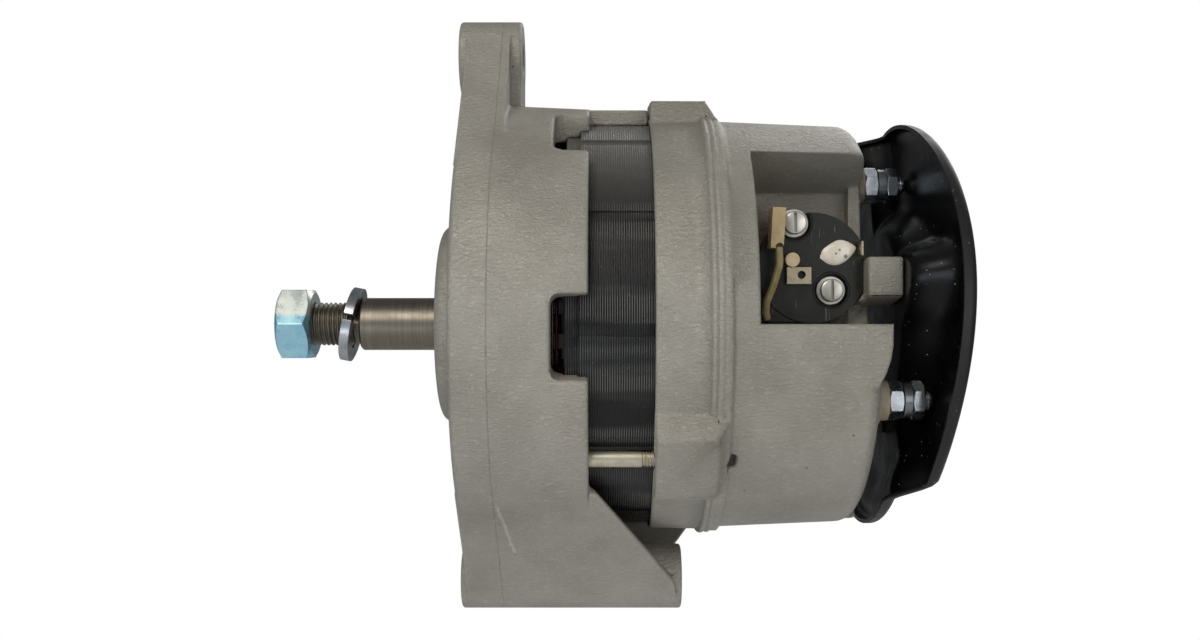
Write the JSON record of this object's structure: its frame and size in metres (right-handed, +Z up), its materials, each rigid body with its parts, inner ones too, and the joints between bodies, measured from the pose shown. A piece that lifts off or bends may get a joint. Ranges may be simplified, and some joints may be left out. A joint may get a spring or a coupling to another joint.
{
  "type": "vehicle alternator, clamped stator type",
  "caption": "Vehicle alternator with two grey cast brackets, a clamped black stator, a threaded pulley shaft and a gloss black pressed rear cover.",
  "frame": {"origin": "on the shaft axis at the front face of the front bracket's bearing boss, where the pulley hub seats", "axes": "+X along the shaft towards the rear cover, +Z up to the adjusting ear, -Y towards the side with the brush pocket"},
  "size_m": [0.2094, 0.1406, 0.1908],
  "materials": {
    "front_casting": "as-cast grey alloy with a fine stippled skin",
    "rear_casting": "as-cast grey alloy with a fine stippled skin",
    "laminations": "black varnish over stacked steel laminations",
    "stator_wire": "dark red varnished copper wire",
    "bolts": "pale zinc plating",
    "bearing_steel": "ground bearing steel",
    "bearing_seal": "black rubber lip seal",
    "retainer_plate": "plain pressed steel",
    "small_screws": "bright zinc plating",
    "heat_sink": "bare pressed aluminium",
    "diode_case": "nickel plated case with a resin top",
    "insulating_bush": "cream moulded insulator",
    "lead_wire": "varnished copper lead",
    "holder_moulding": "dark grey phenolic moulding",
    "bright_screws": "bright plated cheese head",
    "potting": "ivory potting compound",
    "tinned_blade": "tinned brass blade",
    "cream_moulding": "cream moulded insulator",
    "tan_moulding": "tan nylon connector body",
    "olive_sleeve": "olive yellow lead sleeve",
    "studs": "plated stud thread",
    "stud_nuts": "bright zinc plating",
    "spring_steel": "plain spring steel",
    "cover_paint": "gloss black enamel on pressed steel",
    "shaft_steel": "ground steel",
    "pole_steel": "plain forged steel",
    "bobbin_moulding": "dark green moulded bobbin",
    "coil_wire": "enamelled copper wire",
    "sleeve_moulding": "brown moulded sleeve",
    "slip_ring_metal": "polished copper alloy",
    "nut_zinc": "blue white zinc plating",
    "washer_steel": "plain spring steel",
    "cage_metal": "pressed cage",
    "ball_steel": "polished balls",
    "carbon": "copper bearing carbon"
  },
  "bodies": {
    "housing": {"front_bracket": "front_casting", "rear_bracket": "rear_casting", "stator_core": "laminations", "stator_winding": "stator_wire", "through_bolts": "bolts", "front_bearing_outer_ring": "bearing_steel", "front_bearing_seals": "bearing_seal", "bearing_retainer": "retainer_plate", "retainer_screws": "small_screws", "rear_bearing_outer_ring": "bearing_steel", "rear_bearing_seals": "bearing_seal", "negative_heat_sink": "heat_sink", "positive_heat_sink": "heat_sink", "negative_diodes": "diode_case", "positive_diodes": "diode_case", "rectifier_spacers": "insulating_bush", "rectifier_screws": "small_screws", "phase_leads": "lead_wire", "brush_holder": "holder_moulding", "brush_holder_screws": "bright_screws", "brush_holder_washers": "bright_screws", "sealing_compound": "potting", "field_terminal": "tinned_blade", "spare_terminal": "tinned_blade", "terminal_insulator": "cream_moulding", "field_connector": "tan_moulding", "field_lead": "olive_sleeve", "terminal_studs": "studs", "stud_bushes": "insulating_bush", "stud_clamp_nuts": "stud_nuts", "stud_spring_washers": "spring_steel", "terminal_nuts": "stud_nuts", "rear_cover": "cover_paint", "cover_screws": "small_screws", "brush_spring_front": "spring_steel", "brush_spring_rear": "spring_steel"},
    "rotor": {"shaft": "shaft_steel", "front_claw_pole": "pole_steel", "rear_claw_pole": "pole_steel", "pole_core": "pole_steel", "field_bobbin": "bobbin_moulding", "field_coil": "coil_wire", "slip_ring_sleeve": "sleeve_moulding", "front_slip_ring": "slip_ring_metal", "rear_slip_ring": "slip_ring_metal", "front_bearing_inner_ring": "bearing_steel", "rear_bearing_inner_ring": "bearing_steel"},
    "pulley_fastening": {"pulley_nut": "nut_zinc", "spring_washer": "washer_steel"},
    "front_cage": {"front_bearing_cage": "cage_metal", "front_bearing_balls": "ball_steel"},
    "rear_cage": {"rear_bearing_cage": "cage_metal", "rear_bearing_balls": "ball_steel"},
    "front_brush": {"front_brush": "carbon"},
    "rear_brush": {"rear_brush": "carbon"}
  },
  "joints": [
    {"name": "rotor_spin", "type": "hinge", "parent": "housing", "child": "rotor", "pos_m": [0.05, 0, 0], "axis": [1, 0, 0], "continuous": true},
    {"name": "nut_unscrew", "type": "slide", "parent": "rotor", "child": "pulley_fastening", "axis": [-1, 0, 0], "range_m": [0, 0.045]},
    {"name": "front_cage_spin", "type": "hinge", "parent": "housing", "child": "front_cage", "pos_m": [0.011, 0, 0], "axis": [1, 0, 0], "continuous": true},
    {"name": "rear_cage_spin", "type": "hinge", "parent": "housing", "child": "rear_cage", "pos_m": [0.1265, 0, 0], "axis": [1, 0, 0], "continuous": true},
    {"name": "front_brush_slide", "type": "slide", "parent": "housing", "child": "front_brush", "axis": [0, -1, 0], "range_m": [0, 0.0028], "stiffness_N_per_m": 600, "springref_m": -0.004, "deforming": ["brush_spring_front"]},
    {"name": "rear_brush_slide", "type": "slide", "parent": "housing", "child": "rear_brush", "axis": [0, -1, 0], "range_m": [0, 0.0028], "stiffness_N_per_m": 600, "springref_m": -0.004, "deforming": ["brush_spring_rear"]}
  ],
  "couplings": [
    {"joint": "front_cage_spin", "follows": "rotor_spin", "ratio": 0.3641},
    {"joint": "rear_cage_spin", "follows": "rotor_spin", "ratio": 0.3682}
  ]
}
